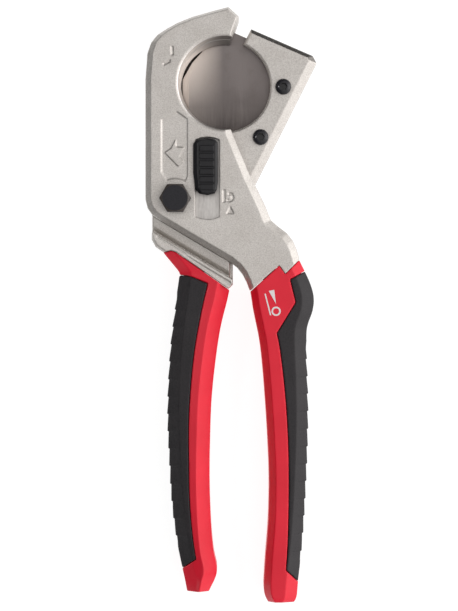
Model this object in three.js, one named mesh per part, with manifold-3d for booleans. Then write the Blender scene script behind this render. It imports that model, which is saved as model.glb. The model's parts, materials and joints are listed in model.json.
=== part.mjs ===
// PVC pipe cutter: a hooked die-cast jaw frame on the right handle, a blade lever on the
// left handle, one hex pivot bolt and a sliding lock button. Lengths are in millimetres. The shapes are
// drawn about the pivot axis, +Y towards the jaws and +Z out of the front face, then shifted once so
// that the tool lies on its back on z = 0 with the middle of its outline over the origin.
import * as THREE from 'three';
import { mergeVertices } from 'three/addons/utils/BufferGeometryUtils.js';
import Module from 'manifold-3d';

const wasm = await Module();
wasm.setup();

// --- driving dimensions ------------------------------------------------------------------------
const MIDDLE = [20.3, -38.6]; // middle of the outline, seen from the pivot
const GAP = 0.3; // clearance between neighbouring pieces
const FAR = 60; // long enough to cut right through

const HEAD_TOP = 20.5; // front face of the jaw frame
const CAVITY = [4.5, 16.5]; // space between the frame's back and front plates
const LEVER = [4.8, 16.2]; // blade lever between the plates
const LEVER_FACE = 14.4; // lever's lowered face under the latch plate
const LOWERED_R = 27.6;
const HUB_R = 9.3;
const HUB_SEAT_R = 9.7;

const SEAT = { x: 17.9, y: 42.0, r: 15.95, rim: 17.4 }; // pipe seat in the hook, wider at the front face
const HOLDER_ARC = { x: 17.9, y: 41.2, r: 16.6 }; // matching arc in the blade holder

const BLADE_Z = 10.5;
const BLADE_T = 1.3;
const BLADE_SLOT_T = 3.0;
const BLADE_SWEEP_R = 67;
const SCREWS = { upper: [39.3, 40.9], lower: [31.0, 22.5] };
const SCREW_HEAD_R = 2.9;
const SCREW_BORE_R = 2.1;
const SOCKET_FLATS = 3.2;
const NUT_BORE = { r: 3.0, top: 9.2 };

const BOLT_R = 3;
const BUSHING = { inner: 3.2, outer: 4.2, bore: 4.5, low: 5.9 };
const HEX_FLATS = 10; // across the flats of the bolt's head and the nut
const BOLT_HEAD_H = 3.9;
const NUT_T = 2.5;

const OPEN_ANGLE = 45;
const TRAVEL = 8;
const SLOT = { x: 11.7, width: 8.8, low: -7.7, high: 22.3 };
const LATCH_Z = [14.9, 16.2];
const NOSE = { x: 12.5, y: -6.5, r: 2.2 };
const CHANNEL_FLOOR = 11.0;

const GRIP_T = 20.5;
const GRIP_CHAMFER = 4;
const RUBBER_T = 2.5;
const TANG_Z = [5.5, 15.0];
const TANG_WIDTH = { left: 6, right: 7 };

// --- colours -----------------------------------------------------------------------------------
const ALUMINIUM = { color: 0xc6c1bc, roughness: 0.55, metalness: 0.6 };
const BLADE_STEEL = { color: 0x776d6c, roughness: 0.35, metalness: 0.9 };
const ZINC_STEEL = { color: 0xb4b2ae, roughness: 0.4, metalness: 0.9 };
const BLACK_STEEL = { color: 0x2b2a2d, roughness: 0.5, metalness: 0.4 };
const BRONZE = { color: 0xa98250, roughness: 0.5, metalness: 0.8 };
const BLACK_PLASTIC = { color: 0x242427, roughness: 0.6, metalness: 0 };
const RED_PLASTIC = { color: 0xd41e35, roughness: 0.4, metalness: 0 };
const BLACK_RUBBER = { color: 0x2c2a2d, roughness: 0.85, metalness: 0 };

// --- solids ------------------------------------------------------------------------------------
function solid(geometry) {
  const bare = geometry.index ? geometry.clone() : geometry;
  bare.deleteAttribute('normal');
  bare.deleteAttribute('uv');
  const merged = mergeVertices(bare, 1e-4);
  return new wasm.Manifold(new wasm.Mesh({
    numProp: 3,
    vertProperties: new Float32Array(merged.attributes.position.array),
    triVerts: new Uint32Array(merged.index.array),
  }));
}

function named(name, manifold, look) {
  const mesh = manifold.getMesh();
  const geometry = new THREE.BufferGeometry();
  geometry.setAttribute('position', new THREE.BufferAttribute(mesh.vertProperties, 3));
  geometry.setIndex(new THREE.BufferAttribute(mesh.triVerts, 1));
  geometry.computeVertexNormals();
  const piece = new THREE.Mesh(geometry, new THREE.MeshStandardMaterial(look));
  piece.name = name;
  return piece;
}

// Closed skin through rings of equal length, each ring anticlockwise seen from the last one's side.
function skin(rings) {
  const count = rings[0].length;
  const outline = rings[0].map(([x, y]) => new THREE.Vector2(x, y));
  const caps = THREE.ShapeUtils.triangulateShape(outline, []);
  const index = [];
  const top = (rings.length - 1) * count;
  for (const [a, b, c] of caps) {
    index.push(a, c, b);
    index.push(top + a, top + b, top + c);
  }
  for (let ring = 0; ring < rings.length - 1; ring++) {
    for (let i = 0; i < count; i++) {
      const a = ring * count + i;
      const b = ring * count + ((i + 1) % count);
      index.push(a, b, b + count);
      index.push(a, b + count, a + count);
    }
  }
  const geometry = new THREE.BufferGeometry();
  geometry.setAttribute('position', new THREE.Float32BufferAttribute(rings.flat(2), 3));
  geometry.setIndex(index);
  return solid(geometry);
}

function lifted(outline, z) {
  return outline.map(([x, y]) => [x, y, z]);
}

function prism(outline, low, high) {
  return skin([lifted(outline, low), lifted(outline, high)]);
}

// Outline moved inwards, edge by edge. The outline is anticlockwise.
function inset(outline, widths) {
  const count = outline.length;
  const width = (i) => (Array.isArray(widths) ? widths[i] : widths);
  return outline.map((corner, i) => {
    const before = outline[(i + count - 1) % count];
    const after = outline[(i + 1) % count];
    const [n1, n2] = [[before, corner], [corner, after]].map(([from, to]) => {
      const length = Math.hypot(to[0] - from[0], to[1] - from[1]);
      return [(from[1] - to[1]) / length, (to[0] - from[0]) / length];
    });
    const [a, b] = [width((i + count - 1) % count), width(i)];
    const cross = n1[0] * n2[1] - n1[1] * n2[0];
    if (Math.abs(cross) < 0.12) {
      const move = (a + b) / 2;
      return [corner[0] + (n1[0] + n2[0]) * 0.5 * move, corner[1] + (n1[1] + n2[1]) * 0.5 * move];
    }
    const d1 = corner[0] * n1[0] + corner[1] * n1[1] + a;
    const d2 = corner[0] * n2[0] + corner[1] * n2[1] + b;
    return [(d1 * n2[1] - d2 * n1[1]) / cross, (d2 * n1[0] - d1 * n2[0]) / cross];
  });
}

// Plate with both its faces' edges bevelled, each edge by its own width.
function bevelled(edges, low, high, depth) {
  const outline = edges.map(([x, y]) => [x, y]);
  const small = inset(outline, edges.map((edge) => edge[2]));
  return skin([
    lifted(small, low), lifted(outline, low + depth), lifted(outline, high - depth), lifted(small, high),
  ]);
}

function turned(x, y, stages, sides = 32) {
  const profile = [new THREE.Vector2(0, stages[0][1])];
  for (const [radius, z] of stages) {
    profile.push(new THREE.Vector2(radius, z));
  }
  profile.push(new THREE.Vector2(0, stages[stages.length - 1][1]));
  const geometry = new THREE.LatheGeometry(profile, sides);
  return solid(geometry).rotate([90, 0, 0]).translate([x, y, 0]);
}

function disc(x, y, radius, low, high, sides = 32) {
  return turned(x, y, [[radius, low], [radius, high]], sides);
}

function hexagon(flats, low, high, bevel) {
  const across = flats / Math.sqrt(3);
  const corners = [...Array(6).keys()].map((k) => {
    const angle = k * Math.PI / 3;
    return [across * Math.cos(angle), across * Math.sin(angle)];
  });
  const rim = flats / 2 - 0.1;
  const round = [[rim + bevel, low], [rim + bevel + 1, low + 1], [rim + bevel, high - 0.5], [rim, high]];
  return prism(corners, low, high).intersect(turned(0, 0, round, 48));
}

function arc(x, y, radius, from, to, steps) {
  return [...Array(steps + 1).keys()].map((k) => {
    const angle = THREE.MathUtils.degToRad(from + (to - from) * k / steps);
    return [x + radius * Math.cos(angle), y + radius * Math.sin(angle)];
  });
}

// Strip of constant width along a bent line.
function strip(line, width) {
  const sides = line.map(([x, y], i) => {
    const [x0, y0] = line[Math.max(i - 1, 0)];
    const [x1, y1] = line[Math.min(i + 1, line.length - 1)];
    const length = Math.hypot(x1 - x0, y1 - y0);
    const [nx, ny] = [(y0 - y1) / length * width / 2, (x1 - x0) / length * width / 2];
    return [[x - nx, y - ny], [x + nx, y + ny]];
  });
  return [...sides.map(([right]) => right), ...sides.map(([, left]) => left).reverse()];
}

// Round cut with a bevelled rim on both faces.
function roundCut({ x, y, r }, low, high, bevel) {
  const stages = [[r + bevel + 1, low - 1], [r, low + bevel], [r, high - bevel], [r + bevel + 1, high + 1]];
  return turned(x, y, stages, 64);
}

// --- outlines: [x, y, bevel of the edge that starts here] -----------------------------------------
const FRAME_EDGES = [
  [-10.9, 43.4, 2.2], [-10.9, -0.5, 2.2], [-10.1, -3.6, 2.2], [-8.4, -6.0, 2.0], [-5.8, -7.8, 2.0],
  [20.6, -23.4, 1.8], [22.6, -25.0, 1.8], [24.6, -27.6, 1.8], [26.0, -30.4, 1.6], [27.2, -33.6, 0],
  [37.7, -24.3, 0], [39.9, -27.4, 0], [45.2, -22.1, 2.6], [44.1, -18.4, 2.6], [42.8, -15.4, 2.6],
  [40.6, -12.6, 2.6], [37.4, -10.2, 2.6], [34.8, -7.9, 2.9], [32.6, -2.4, 2.9], [30.2, 2.6, 2.7],
  [27.4, 7.7, 2.4], [18.5, 29.2, 0.9], [20.5, 58.5, 0.9], [23.2, 66.1, 1.0], [19.3, 69.7, 1.0],
  [13.9, 68.3, 1.0], [6.2, 66.1, 1.0], [0.7, 63.9, 1.0], [-3.1, 61.8, 1.2], [-6.6, 59.5, 1.6],
  [-8.8, 56.8, 2.0], [-10.2, 52.9, 2.2],
];

const HOLDER_EDGES = [
  [12.2, 22.8, 0], [4.8, 22.8, 0], [4.8, 8.0, 0], [0, 0, 0], [8.8, 3.2, 0], [28.1, 3.2, 3.0],
  [51.5, 49.6, 2.2], [50.1, 52.3, 1.5], [27.6, 62.1, 0.8], [24.3, 55.6, 0.8], [24.3, 45.0, 0.8],
  [15.2, 25.4, 0],
];

const HOLDER_BEVEL = 1.1;

const SHANK = [
  [-8.6, -3.4], [-8.6, -14.0], [9.0, -22.5], [19.6, -30.0], [20.9, -24.6], [20.0, -20.0],
  [17.4, -12.5], [13.0, -7.0], [8.4, -4.0], [0, 0],
];

// Rounded bar beside the collar: centres and radius of its section's arcs, and its direction.
const BAR = { across: -13.0, r: 3.8, low: 8.7, high: 12.1, angle: -30.9 };
const BAR_ENDS = [[-8.6, 0, 1.0], [-8.6, -20.0, 0], [20.9, -38.0, 1.4], [20.9, -15.0, 0]];
const BAR_BEVEL = 1.2;

const COLLAR_EDGES = [
  [-8.6, -12.4, 0.7], [-8.6, -15.0, 0.9], [-7.2, -17.6, 0.9], [-4.5, -19.4, 0], [-1.6, -18.8, 0],
  [0.2, -19.35, 0], [19.3, -32.8, 0.4], [20.9, -31.3, 0.4], [20.9, -30.2, 0.6],
];
const COLLAR_Z = [0.4, 20.1];
const COLLAR_BEVEL = 1.0;

const BLADE_EDGES = [
  [15.0, 64.0, 2.4], [6.3, 53.6, 2.4], [2.15, 45.3, 2.6], [2.15, 19.5, 0], [10.0, 17.5, 0], [23.0, 8.0, 0],
  [27.5, 11.0, 0], [45.5, 46.5, 0], [44.0, 51.4, 0],
];

const LEFT_GRIP_EDGES = [
  [-4.3, -19.8, 1.0], [0.2, -26.2, 2.0], [0.9, -28.6, 3.2], [0.0, -36.9, 3.2], [-1.8, -51.5, 3.2],
  [-2.8, -66.0, 3.2], [-3.1, -80.7, 3.2], [-2.5, -95.0, 3.2], [-1.6, -109.9, 3.2], [-0.1, -122.0, 3.2],
  [2.2, -133.5, 2.6], [4.2, -143.1, 1.8], [12.2, -143.1, 2.2], [15.1, -136.0, 3.8], [13.8, -128.1, 3.8],
  [12.9, -118.0, 3.8], [12.4, -104.0, 3.8], [12.5, -90.0, 3.8], [13.1, -73.4, 3.8], [14.6, -58.8, 3.8],
  [16.4, -47.0, 3.8], [18.8, -37.2, 3.8], [19.6, -33.5, 0], [0.2, -19.8, 0], [-1.6, -19.2, 0],
];
const LEFT_RUBBER = [
  [-12, -27.9], [1.5, -27.9], [5.5, -28.2], [11.9, -30.6], [9.3, -42.3], [6.7, -57.8], [4.9, -77.7],
  [4.7, -95.0], [5.1, -110.0], [6.4, -123.0], [7.6, -131.2], [2.4, -134.8], [-12, -136.0],
].reverse();
const LEFT_TANG = [[5.5, -19], [8.6, -34], [6.6, -52], [5.2, -80], [5.2, -104], [6.8, -124]];

const RIGHT_GRIP_EDGES = [
  [27.4, -34.0, 2.0], [28.0, -40.5, 2.5], [30.3, -51.5, 2.5], [31.8, -62.0, 2.5], [32.8, -75.0, 2.5],
  [33.6, -88.0, 2.5], [34.1, -102.0, 2.5], [33.8, -117.2, 2.5], [32.7, -131.8, 2.5], [32.1, -139.6, 2.4],
  [32.7, -143.5, 2.2], [34.6, -146.9, 1.8], [42.2, -146.9, 1.8], [43.6, -145.2, 1.8], [44.9, -137.2, 2.6],
  [46.5, -124.5, 3.2], [47.8, -109.9, 3.2], [48.5, -95.3, 3.2], [48.9, -77.0, 3.2], [48.4, -64.0, 3.2],
  [47.8, -53.5, 3.2], [48.1, -46.8, 3.2], [50.1, -40.8, 3.2], [50.5, -35.8, 3.2], [48.9, -30.3, 2.6],
  [45.2, -22.5, 0], [39.9, -27.8, 0], [37.7, -24.7, 0],
];
const RIGHT_RUBBER = [
  [60, -25.5], [47.3, -26.4], [41.6, -29.4], [43.6, -37.8], [36.8, -48.9], [38.1, -56.0], [40.3, -73.2],
  [41.2, -91.6], [41.2, -110.0], [40.6, -126.0], [40.0, -134.9], [44.6, -139.4], [60, -141],
];
const RIGHT_TANG = [[35.6, -26], [36.2, -36], [37.6, -50], [39.6, -74], [40.2, -100], [38.8, -124]];

// --- jaw frame and what is fixed to it ---------------------------------------------------------------
function leverSpace() {
  return prism([
    [-20, 6.2], [-20, -14], [0, -27], [21.6, -27], [21.6, -18.8], [46, -10.9], [46, 12], [22, 27],
    [15, 27], [14.2, 25.9], [12, 23.4], [4.5, 23.4], ...arc(0, 0, HUB_SEAT_R, 62.4, 140.3, 12),
  ], ...CAVITY);
}

function bladeSlot() {
  const half = BLADE_SLOT_T / 2;
  const sweep = arc(0, 0, BLADE_SWEEP_R, 60, 78, 6);
  const outline = [[1.2, 17], [40, 17], ...sweep, [12.2, 64], [5.3, 53], [1.2, 44.8]];
  return prism(outline, BLADE_Z - half, BLADE_Z + half);
}

function buttonSlot() {
  const half = SLOT.width / 2;
  const rise = 1.1;
  const across = (side, t) => [SLOT.x + side * half * t, 0];
  const steps = [-1, -0.6, 0, 0.6, 1];
  const low = steps.map((t) => [across(1, t)[0], SLOT.low + rise * t * t]);
  const high = steps.map((t) => [across(-1, t)[0], SLOT.high - rise * t * t]);
  return prism([...low, ...high], CAVITY[1] - 1, HEAD_TOP + 1);
}

function pipeSeat() {
  const { x, y, r, rim } = SEAT;
  const waist = BLADE_Z + BLADE_SLOT_T / 2;
  const stages = [[r + 2, -1], [r, 1], [r, waist], [rim - 0.5, HEAD_TOP - 0.6], [rim + 0.4, HEAD_TOP + 0.5]];
  return turned(x, y, stages, 64);
}

function jawFrame() {
  const tang = prism(strip(RIGHT_TANG, TANG_WIDTH.right), ...TANG_Z);
  return bevelled(FRAME_EDGES, 0, HEAD_TOP, 1.6)
    .subtract(pipeSeat())
    .subtract(leverSpace())
    .subtract(bladeSlot())
    .subtract(buttonSlot())
    .subtract(disc(0, 0, BOLT_R + GAP, -FAR, FAR))
    .subtract(hexagon(HEX_FLATS + 2 * GAP, -1, NUT_T + 2 * GAP, 2))
    .add(tang);
}

function pivotBolt() {
  const foot = HEAD_TOP + GAP;
  return disc(0, 0, BOLT_R, 0.4, foot + 1).add(hexagon(HEX_FLATS, foot, foot + BOLT_HEAD_H, 0.6));
}

function pivotNut() {
  return hexagon(HEX_FLATS, GAP, GAP + NUT_T, 0.6).subtract(disc(0, 0, BOLT_R + GAP, -FAR, FAR));
}

function ring(inner, outer, low, high) {
  return disc(0, 0, outer, low, high).subtract(disc(0, 0, inner, low - 1, high + 1));
}

function openingSpring() {
  const [radius, wire, pitch, turns, base] = [6.35, 0.65, 1.55, 2.1, 5.55];
  const count = 40;
  const stations = [...Array(count + 1).keys()].map((k) => {
    const turn = k / count * turns;
    const angle = turn * 2 * Math.PI;
    return new THREE.Vector3(radius * Math.cos(angle), radius * Math.sin(angle), base + pitch * turn);
  });
  const section = new THREE.Shape().absarc(0, 0, wire, 0, 2 * Math.PI);
  const path = new THREE.CatmullRomCurve3(stations);
  return solid(new THREE.ExtrudeGeometry(section, {
    steps: 44, curveSegments: 4, bevelEnabled: false, extrudePath: path,
  }));
}

// --- blade lever and what is fixed to it ---------------------------------------------------------------
function lockNotch(angle) {
  const half = NOSE.r + GAP;
  const low = NOSE.y - TRAVEL - half;
  const [left, right] = [NOSE.x - half, NOSE.x + half];
  const outline = [[left, low], [right, low], [right, NOSE.y], [left, NOSE.y]];
  return prism(outline, CHANNEL_FLOOR, LEVER[1] + 1).rotate([0, 0, angle]);
}

function noseChannel() {
  const orbit = Math.hypot(NOSE.x, NOSE.y);
  const width = NOSE.r + 2 * GAP;
  const outer = arc(0, 0, orbit + width, -62, 30, 16);
  const inner = arc(0, 0, orbit - width, 30, -62, 16);
  return prism([...outer, ...inner], CHANNEL_FLOOR, LEVER[1] + 1);
}

// Ring-shaped pocket for the spring, with a shallow seat for the back washer inside it.
function springRecess() {
  const [inner, outer, top] = [5.2, 7.5, 9.6];
  return ring(inner, outer, LEVER[0] - 1, top).add(disc(0, 0, inner + 0.8, LEVER[0] - 1, BUSHING.low));
}

function shankBar() {
  const { across, r, low, high, angle } = BAR;
  const section = [...arc(across, high, r, 30, 150, 10), ...arc(across, low, r, 210, 330, 10)];
  return prism(section, -FAR, FAR)
    .rotate([90, 0, 90])
    .rotate([0, 0, angle])
    .intersect(bevelled(BAR_ENDS, low - r, high + r, BAR_BEVEL));
}

function leverCasting() {
  const arm = bevelled(HOLDER_EDGES, ...LEVER, HOLDER_BEVEL).subtract(roundCut(HOLDER_ARC, ...LEVER, 0.7));
  const half = BLADE_T / 2 + 0.25;
  const bladeSpace = prism(inset(BLADE_EDGES, -0.4), BLADE_Z - half, BLADE_Z + half);
  let casting = arm
    .add(disc(0, 0, HUB_R, ...LEVER, 48))
    .add(prism(SHANK, LEVER[0], LEVER_FACE))
    .subtract(disc(0, 0, LOWERED_R, LEVER_FACE, FAR, 64))
    .add(shankBar())
    .add(bevelled(COLLAR_EDGES, ...COLLAR_Z, COLLAR_BEVEL))
    .add(prism(strip(LEFT_TANG, TANG_WIDTH.left), ...TANG_Z))
    .subtract(bladeSpace)
    .subtract(noseChannel())
    .subtract(springRecess())
    .subtract(disc(0, 0, BUSHING.bore, -FAR, FAR));
  for (const angle of [0, OPEN_ANGLE]) {
    casting = casting.subtract(lockNotch(angle));
  }
  for (const [x, y] of Object.values(SCREWS)) {
    const { r, top } = NUT_BORE;
    const stages = [[r, 0], [r, top], [SCREW_BORE_R, top], [SCREW_BORE_R, FAR]];
    casting = casting.subtract(turned(x, y, stages));
  }
  return casting;
}

function blade() {
  let plate = bevelled(BLADE_EDGES, BLADE_Z - BLADE_T / 2, BLADE_Z + BLADE_T / 2, 0.55);
  for (const [x, y] of Object.values(SCREWS)) {
    plate = plate.subtract(disc(x, y, SCREW_BORE_R, 0, FAR, 20));
  }
  return plate;
}

function bladeScrew([x, y]) {
  const foot = LEVER[1] + GAP;
  const r = SCREW_HEAD_R;
  const shank = 1.7;
  const stages = [
    [shank, 6.2], [shank, foot], [r, foot], [r, foot + 0.5], [r * 0.82, foot + 1.3], [r * 0.5, foot + 1.7],
  ];
  const socket = hexagon(SOCKET_FLATS, foot + 0.7, FAR, 2).translate([x, y, 0]);
  return turned(x, y, stages, 28).subtract(socket);
}

function bladeNut([x, y]) {
  const face = LEVER[0] - GAP;
  const stages = [[SCREW_HEAD_R, face - 1.4], [SCREW_HEAD_R, face], [2.7, face], [2.7, 8.9]];
  return turned(x, y, stages, 28).subtract(disc(x, y, 2.0, 5.2, FAR, 20));
}

// --- grips: a hard red body with a soft rubber wrap on the outer side --------------------------------
const CORE_BEVEL = { side: 2, depth: 2.6 };

function core(edges, outerEdges, skinT) {
  const outline = inset(edges, edges.map((edge, i) => (outerEdges(i) ? skinT : 0)));
  const shaped = outline.map(([x, y], i) => [x, y, outerEdges(i) ? CORE_BEVEL.side : 0]);
  return bevelled(shaped, skinT, GRIP_T - skinT, CORE_BEVEL.depth);
}

function gripBody(edges, outerEdges, rubber, tang) {
  return bevelled(edges, 0, GRIP_T, GRIP_CHAMFER)
    .subtract(prism(rubber, -1, GRIP_T + 1))
    .add(core(edges, outerEdges, RUBBER_T + GAP))
    .subtract(prism(tang, TANG_Z[0] - GAP, TANG_Z[1] + GAP));
}

function gripRubber(edges, outerEdges, rubber) {
  return bevelled(edges, 0, GRIP_T, GRIP_CHAMFER)
    .intersect(prism(inset(rubber, GAP), -1, GRIP_T + 1))
    .subtract(core(edges, outerEdges, RUBBER_T));
}

function longer(line, extra) {
  const [[x0, y0], [x1, y1]] = line.slice(-2);
  const k = extra / Math.hypot(x1 - x0, y1 - y0);
  return [...line.slice(0, -1), [x1 + (x1 - x0) * k, y1 + (y1 - y0) * k]];
}

const leftOuter = (i) => i >= 1 && i <= 10;
const rightOuter = (i) => i >= 14 && i <= 24;
const leftTangSpace = strip(longer(LEFT_TANG, GAP), TANG_WIDTH.left + 2 * GAP);
const rightTangSpace = strip(longer(RIGHT_TANG, GAP), TANG_WIDTH.right + 2 * GAP);

// --- lock ---------------------------------------------------------------------------------------------
const RIVETS = [[11.4, 5.0], [11.4, 18.0]];
const RIVET_R = 1.2;
const RIVET_TOP = 18.9;

// Seen from the front: the stem fits the slot and the head laps over its left edge.
const BUTTON_STEM = [
  [15.5, 6.0], [15.5, 19.6], [14.2, 20.8], [9.0, 20.8], [7.7, 19.6], [7.7, 6.0], [8.9, 1.9], [11.6, 1.3],
  [14.3, 1.9],
];
const BUTTON_EDGES = [
  [15.5, 6.0, 0.9], [15.5, 20.2, 0.7], [14.4, 21.3, 0.6], [11.4, 21.8, 0.6], [8.0, 21.2, 0.9],
  [6.5, 19.8, 1.5], [6.5, 9.2, 1.5], [7.2, 3.2, 1.0], [8.7, 1.6, 0.6], [11.6, 1.1, 0.6], [14.3, 1.7, 0.6],
  [15.2, 3.2, 0.8],
];
const RIBS = { left: 8.9, right: 14.0, first: 3.0, count: 6, pitch: 2.8, width: 2.0, height: 0.6 };

function lockButton() {
  const underside = HEAD_TOP + GAP;
  const crown = HEAD_TOP + 2.1;
  const stem = prism(BUTTON_STEM, LATCH_Z[1] + GAP, underside + 0.5);
  let button = bevelled(BUTTON_EDGES, underside, crown, 0.8).add(stem);
  for (let k = 0; k < RIBS.count; k++) {
    const low = RIBS.first + RIBS.pitch * k;
    const high = low + RIBS.width;
    const outline = [[RIBS.left, low], [RIBS.right, low], [RIBS.right, high], [RIBS.left, high]];
    button = button.add(prism(outline, crown - 0.5, crown + RIBS.height));
  }
  for (const [x, y] of RIVETS) {
    button = button.subtract(disc(x, y, RIVET_R + GAP, 0, RIVET_TOP + 0.4, 20));
  }
  const pocket = [[8.9, 7.4], [14.2, 7.4], [14.2, 15.6], [8.9, 15.6]];
  return button.subtract(prism(pocket, LATCH_Z[1], LATCH_Z[1] + 2));
}

function latchPlate() {
  const outline = [
    [5.3, 20.5], [5.3, -5.5], [10.2, -9.0], [17.5, -9.0], [17.5, 19.4], [14.2, 22.8], [7.2, 22.8],
  ];
  let plate = prism(outline, ...LATCH_Z).add(disc(NOSE.x, NOSE.y, NOSE.r, CHANNEL_FLOOR + 0.5, LATCH_Z[1]));
  for (const [x, y] of RIVETS) {
    plate = plate.subtract(disc(x, y, RIVET_R + GAP, 0, FAR, 20));
  }
  return plate;
}

function latchRivet([x, y]) {
  const stages = [[RIVET_R, LATCH_Z[0] + 0.1], [RIVET_R, RIVET_TOP - 0.3], [RIVET_R - 0.3, RIVET_TOP]];
  return turned(x, y, stages, 20);
}

// Thin wavy strip that presses the button away from the latch plate.
const WAVE = { start: 7.9, length: 7.2, left: 9.4, right: 13.8, height: 0.4, thickness: 0.3, steps: 16 };

function frictionSpring() {
  const steps = [...Array(WAVE.steps + 1).keys()];
  const along = (k) => WAVE.start + WAVE.length * k / WAVE.steps;
  const middle = (k) => LATCH_Z[1] + 0.8 + WAVE.height * Math.cos(k * Math.PI / 4);
  const face = (side) => steps.map((k) => [along(k), middle(k) + side * WAVE.thickness / 2]);
  const outline = [...face(-1), ...face(1).reverse()];
  return prism(outline, WAVE.left, WAVE.right).rotate([90, 0, 90]);
}

// --- assembly -------------------------------------------------------------------------------------------
const frameBody = new THREE.Group();
frameBody.add(
  named('jaw_frame', jawFrame(), ALUMINIUM),
  named('pivot_bolt', pivotBolt(), BLACK_STEEL),
  named('pivot_nut', pivotNut(), BLACK_STEEL),
  named('front_thrust_washer', ring(BOLT_R + GAP, 4.9, LEVER_FACE + GAP, LEVER[1]), ZINC_STEEL),
  named('back_thrust_washer', ring(BOLT_R + GAP, 4.9, LEVER[0], 5.6), ZINC_STEEL),
  named('opening_spring', openingSpring(), ZINC_STEEL),
  named('right_grip', gripBody(RIGHT_GRIP_EDGES, rightOuter, RIGHT_RUBBER, rightTangSpace), RED_PLASTIC),
  named('right_grip_rubber', gripRubber(RIGHT_GRIP_EDGES, rightOuter, RIGHT_RUBBER), BLACK_RUBBER),
);

const leverBody = new THREE.Group();
leverBody.add(
  named('lever_casting', leverCasting(), ALUMINIUM),
  named('pivot_bushing', ring(BUSHING.inner, BUSHING.outer, BUSHING.low, LEVER_FACE), BRONZE),
  named('blade', blade(), BLADE_STEEL),
  named('left_grip', gripBody(LEFT_GRIP_EDGES, leftOuter, LEFT_RUBBER, leftTangSpace), RED_PLASTIC),
  named('left_grip_rubber', gripRubber(LEFT_GRIP_EDGES, leftOuter, LEFT_RUBBER), BLACK_RUBBER),
);
for (const [end, spot] of Object.entries(SCREWS)) {
  leverBody.add(named(`blade_screw_${end}`, bladeScrew(spot), BLACK_STEEL));
  leverBody.add(named(`blade_nut_${end}`, bladeNut(spot), BLACK_STEEL));
}

const lockBody = new THREE.Group();
lockBody.add(
  named('lock_button', lockButton(), BLACK_PLASTIC),
  named('latch_plate', latchPlate(), ZINC_STEEL),
  named('lock_friction_spring', frictionSpring(), ZINC_STEEL),
  named('latch_rivet_lower', latchRivet(RIVETS[0]), ZINC_STEEL),
  named('latch_rivet_upper', latchRivet(RIVETS[1]), ZINC_STEEL),
);

const cutter = new THREE.Group();
cutter.name = 'pvc_pipe_cutter';
cutter.add(frameBody, leverBody, lockBody);
cutter.position.set(-MIDDLE[0], -MIDDLE[1], 0);

export default cutter;
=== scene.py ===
"""A PVC pipe cutter with a cast aluminium head and red and black grips, lying on a pale floor.

Lengths are in millimetres about the pivot axis while a piece is drawn, +Y towards the jaws and +Z out
of the front face. place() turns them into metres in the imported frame.
"""

import json
import math

import bmesh
import bpy
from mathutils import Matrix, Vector


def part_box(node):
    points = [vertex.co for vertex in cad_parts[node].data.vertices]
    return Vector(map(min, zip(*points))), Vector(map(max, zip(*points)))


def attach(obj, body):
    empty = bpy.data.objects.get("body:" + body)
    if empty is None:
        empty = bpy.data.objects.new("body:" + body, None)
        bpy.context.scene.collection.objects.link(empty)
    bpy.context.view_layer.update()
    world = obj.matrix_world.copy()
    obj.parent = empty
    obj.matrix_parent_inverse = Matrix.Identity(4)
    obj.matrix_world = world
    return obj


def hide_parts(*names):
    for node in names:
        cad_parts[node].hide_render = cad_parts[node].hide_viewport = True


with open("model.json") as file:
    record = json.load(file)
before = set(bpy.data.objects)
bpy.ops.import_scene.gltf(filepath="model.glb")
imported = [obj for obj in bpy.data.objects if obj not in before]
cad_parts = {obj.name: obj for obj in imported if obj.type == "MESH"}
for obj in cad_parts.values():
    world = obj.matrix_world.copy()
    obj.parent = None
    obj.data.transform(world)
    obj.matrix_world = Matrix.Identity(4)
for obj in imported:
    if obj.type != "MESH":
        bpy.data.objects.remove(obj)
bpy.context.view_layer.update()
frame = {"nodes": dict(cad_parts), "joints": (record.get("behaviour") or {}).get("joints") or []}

MM = 0.001
PIVOT = Vector(frame["joints"][0]["pos_m"])  # the hinge is the first joint
HEAD_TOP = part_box("jaw_frame")[1].z / MM

# Stretches over which painted light and painted shade on a metal change, in millimetres of the imported
# frame.
BLADE_SHADE_Y = (65, 95)
BLADE_SHADE_X = (-16, -3)
SEAT_SHADE_X = (-14.5, -3.5)


# --- mesh helpers ------------------------------------------------------------------------------


def place(x, y, z):
    """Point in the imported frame, in metres, of a point in millimetres about the pivot axis."""
    return (PIVOT.x + x * MM, PIVOT.y + y * MM, z * MM)


def link(name, mesh):
    piece = bpy.data.objects.new(name, mesh)
    bpy.context.scene.collection.objects.link(piece)
    return piece


def closed_mesh(name, rings):
    """Solid through rings of [x, y, z] millimetres, each ring the same length."""
    count = len(rings[0])
    verts = [place(*point) for ring in rings for point in ring]
    faces = [tuple(reversed(range(count)))]
    faces.append(tuple(range((len(rings) - 1) * count, len(rings) * count)))
    for r in range(len(rings) - 1):
        for i in range(count):
            a = r * count + i
            b = r * count + (i + 1) % count
            faces.append((a, b, b + count, a + count))
    mesh = bpy.data.meshes.new(name)
    mesh.from_pydata(verts, [], faces)
    shape = bmesh.new()
    shape.from_mesh(mesh)
    bmesh.ops.recalc_face_normals(shape, faces=shape.faces)
    bmesh.ops.triangulate(shape, faces=[f for f in shape.faces if len(f.verts) > 4])
    shape.to_mesh(mesh)
    shape.free()
    return link(name, mesh)


def prism(outline, low, high, name="tool"):
    return closed_mesh(name, [[(x, y, z) for x, y in outline] for z in (low, high)])


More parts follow.
